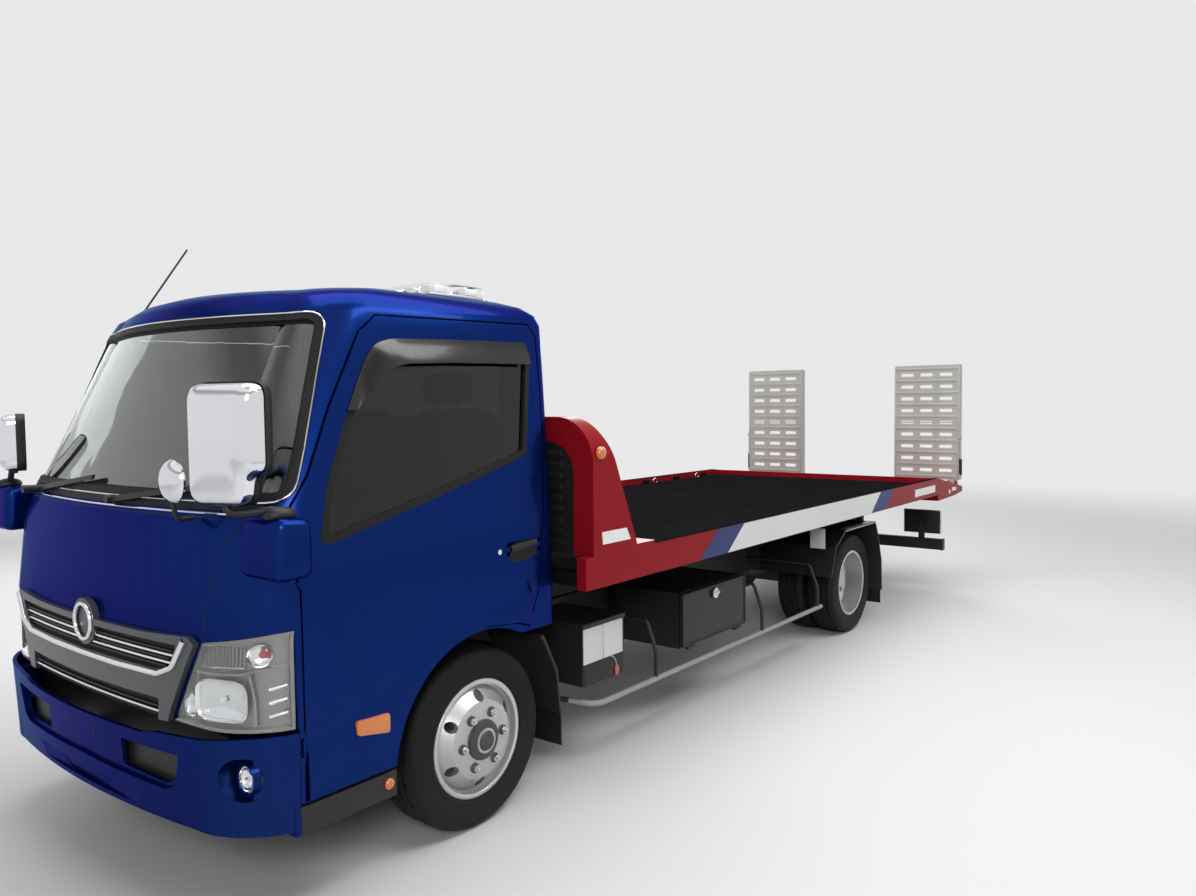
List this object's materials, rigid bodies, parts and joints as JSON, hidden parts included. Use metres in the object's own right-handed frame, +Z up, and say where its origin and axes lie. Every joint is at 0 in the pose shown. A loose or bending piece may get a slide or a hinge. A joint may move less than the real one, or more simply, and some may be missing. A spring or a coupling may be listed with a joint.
{
  "type": "tow truck",
  "caption": "Light flatbed tow truck with a tilting cab, a tilting and sliding tray, a winch and upright rear loading ramps.",
  "frame": {"origin": "bottom centre of the whole truck's box, on the ground", "axes": "+X forward, +Y to the driver's left, +Z up"},
  "size_m": [7.3, 2.3, 2.4996],
  "materials": {
    "cab_paint": "gloss",
    "body_red": "gloss",
    "body_blue": "gloss",
    "chassis_grey": "satin",
    "deck_black": "matt, worn",
    "guard_grey": "satin",
    "cast_metal": "rough",
    "machined_steel": "brushed",
    "wheel_silver": "satin",
    "ramp_alloy": "tread plate",
    "chrome_trim": "polished",
    "grille_plastic": "satin, with bright bars",
    "black_plastic": "grained",
    "interior_plastic": "grained",
    "seat_fabric": "woven",
    "clear_lens": "clear over bright reflector",
    "red_lens": "ribbed lens",
    "window_glass": "clear",
    "tyre_rubber": "matt"
  },
  "bodies": {
    "chassis": {"chassis_frame": "chassis_grey", "front_axle": "cast_metal", "rear_axle": "cast_metal", "drive_shaft": "cast_metal", "engine": "cast_metal", "fuel_tank": "chassis_grey", "battery_box": "chassis_grey", "toolbox": "chassis_grey", "front_bumper": "body_blue", "fog_lamps": "clear_lens", "front_mudguards": "black_plastic", "rear_mudguards": "black_plastic", "side_guards": "guard_grey", "rear_bumper": "chassis_grey", "tail_lamps": "red_lens", "exhaust": "cast_metal"},
    "cab": {"cab_shell": "cab_paint", "grille": "grille_plastic", "grille_trim": "chrome_trim", "headlamps": "clear_lens", "windscreen": "window_glass", "rear_window": "window_glass", "mirror_left": "black_plastic", "mirror_right": "black_plastic", "front_mirror": "chrome_trim", "wipers": "black_plastic", "light_bar": "clear_lens", "antenna": "black_plastic", "seats": "seat_fabric", "dashboard": "interior_plastic", "steering_wheel": "black_plastic"},
    "left_door": {"door_left": "cab_paint", "door_glass_left": "window_glass"},
    "right_door": {"door_right": "cab_paint", "door_glass_right": "window_glass"},
    "left_knuckle": {"steering_knuckle_left": "cast_metal"},
    "right_knuckle": {"steering_knuckle_right": "cast_metal"},
    "front_left_wheel": {"tyre_front_left": "tyre_rubber", "rim_front_left": "wheel_silver"},
    "front_right_wheel": {"tyre_front_right": "tyre_rubber", "rim_front_right": "wheel_silver"},
    "rear_left_wheels": {"tyres_rear_left": "tyre_rubber", "rims_rear_left": "wheel_silver"},
    "rear_right_wheels": {"tyres_rear_right": "tyre_rubber", "rims_rear_right": "wheel_silver"},
    "box_door": {"toolbox_door": "chassis_grey"},
    "lift_barrel_pair": {"lift_barrels": "deck_black"},
    "lift_rod_pair": {"lift_rods": "machined_steel"},
    "tilting_frame": {"tilt_frame": "chassis_grey", "slide_barrel": "deck_black"},
    "tray": {"tray_deck": "deck_black", "side_rails": "body_red", "tray_tail": "body_red", "headboard": "body_red", "winch": "cast_metal", "slide_rod": "machined_steel"},
    "drum": {"winch_drum": "machined_steel"},
    "left_ramp": {"ramp_left": "ramp_alloy"},
    "right_ramp": {"ramp_right": "ramp_alloy"}
  },
  "joints": [
    {"name": "cab_tilt", "type": "hinge", "parent": "chassis", "child": "cab", "pos_m": [3.36, 0, 0.75], "axis": [0, 1, 0], "range_deg": [0, 45]},
    {"name": "left_door_hinge", "type": "hinge", "parent": "cab", "child": "left_door", "pos_m": [3.336, 0.99, 1.2], "axis": [0, 0, -1], "range_deg": [0, 65]},
    {"name": "right_door_hinge", "type": "hinge", "parent": "cab", "child": "right_door", "pos_m": [3.336, -0.99, 1.2], "axis": [0, 0, 1], "range_deg": [0, 65]},
    {"name": "steer_left", "type": "hinge", "parent": "chassis", "child": "left_knuckle", "pos_m": [2.5, 0.735, 0.367], "axis": [0, 0, 1], "range_deg": [-32, 32]},
    {"name": "steer_right", "type": "hinge", "parent": "chassis", "child": "right_knuckle", "pos_m": [2.5, -0.735, 0.367], "axis": [0, 0, 1], "range_deg": [-32, 32]},
    {"name": "front_left_roll", "type": "hinge", "parent": "left_knuckle", "child": "front_left_wheel", "pos_m": [2.5, 0.85, 0.367], "axis": [0, 1, 0], "continuous": true},
    {"name": "front_right_roll", "type": "hinge", "parent": "right_knuckle", "child": "front_right_wheel", "pos_m": [2.5, -0.85, 0.367], "axis": [0, 1, 0], "continuous": true},
    {"name": "rear_left_roll", "type": "hinge", "parent": "chassis", "child": "rear_left_wheels", "pos_m": [-1.37, 0.732, 0.367], "axis": [0, 1, 0], "continuous": true},
    {"name": "rear_right_roll", "type": "hinge", "parent": "chassis", "child": "rear_right_wheels", "pos_m": [-1.37, -0.732, 0.367], "axis": [0, 1, 0], "continuous": true},
    {"name": "toolbox_lid", "type": "hinge", "parent": "chassis", "child": "box_door", "pos_m": [0.6245, 0.942, 0.386], "axis": [-1, 0, 0], "range_deg": [0, 90]},
    {"name": "tray_tilt", "type": "hinge", "parent": "chassis", "child": "tilting_frame", "pos_m": [-2.83, 0, 0.64], "axis": [0, -1, 0], "range_deg": [0, 12]},
    {"name": "lift_swing", "type": "hinge", "parent": "chassis", "child": "lift_barrel_pair", "pos_m": [0.55, 0, 0.56], "axis": [0, 1, 0], "range_deg": [0, 26.85]},
    {"name": "lift_stroke", "type": "slide", "parent": "lift_barrel_pair", "child": "lift_rod_pair", "axis": [-0.9782, 0, 0.2079], "range_m": [0, 0.306]},
    {"name": "tray_slide", "type": "slide", "parent": "tilting_frame", "child": "tray", "axis": [-1, 0, 0], "range_m": [0, 2.2]},
    {"name": "left_ramp_fold", "type": "hinge", "parent": "tray", "child": "left_ramp", "pos_m": [-3.585, 0.782, 0.945], "axis": [0, -1, 0], "range_deg": [0, 94]},
    {"name": "right_ramp_fold", "type": "hinge", "parent": "tray", "child": "right_ramp", "pos_m": [-3.585, -0.782, 0.945], "axis": [0, -1, 0], "range_deg": [0, 94]},
    {"name": "winch_turn", "type": "hinge", "parent": "tray", "child": "drum", "pos_m": [1.6, 0, 1.115], "axis": [0, 1, 0], "continuous": true}
  ],
  "couplings": [
    {"joint": "steer_right", "follows": "steer_left", "ratio": 1},
    {"joint": "lift_swing", "follows": "tray_tilt", "ratio": 2.2364},
    {"joint": "lift_stroke", "follows": "tray_tilt", "m_per_rad": 1.4588}
  ]
}
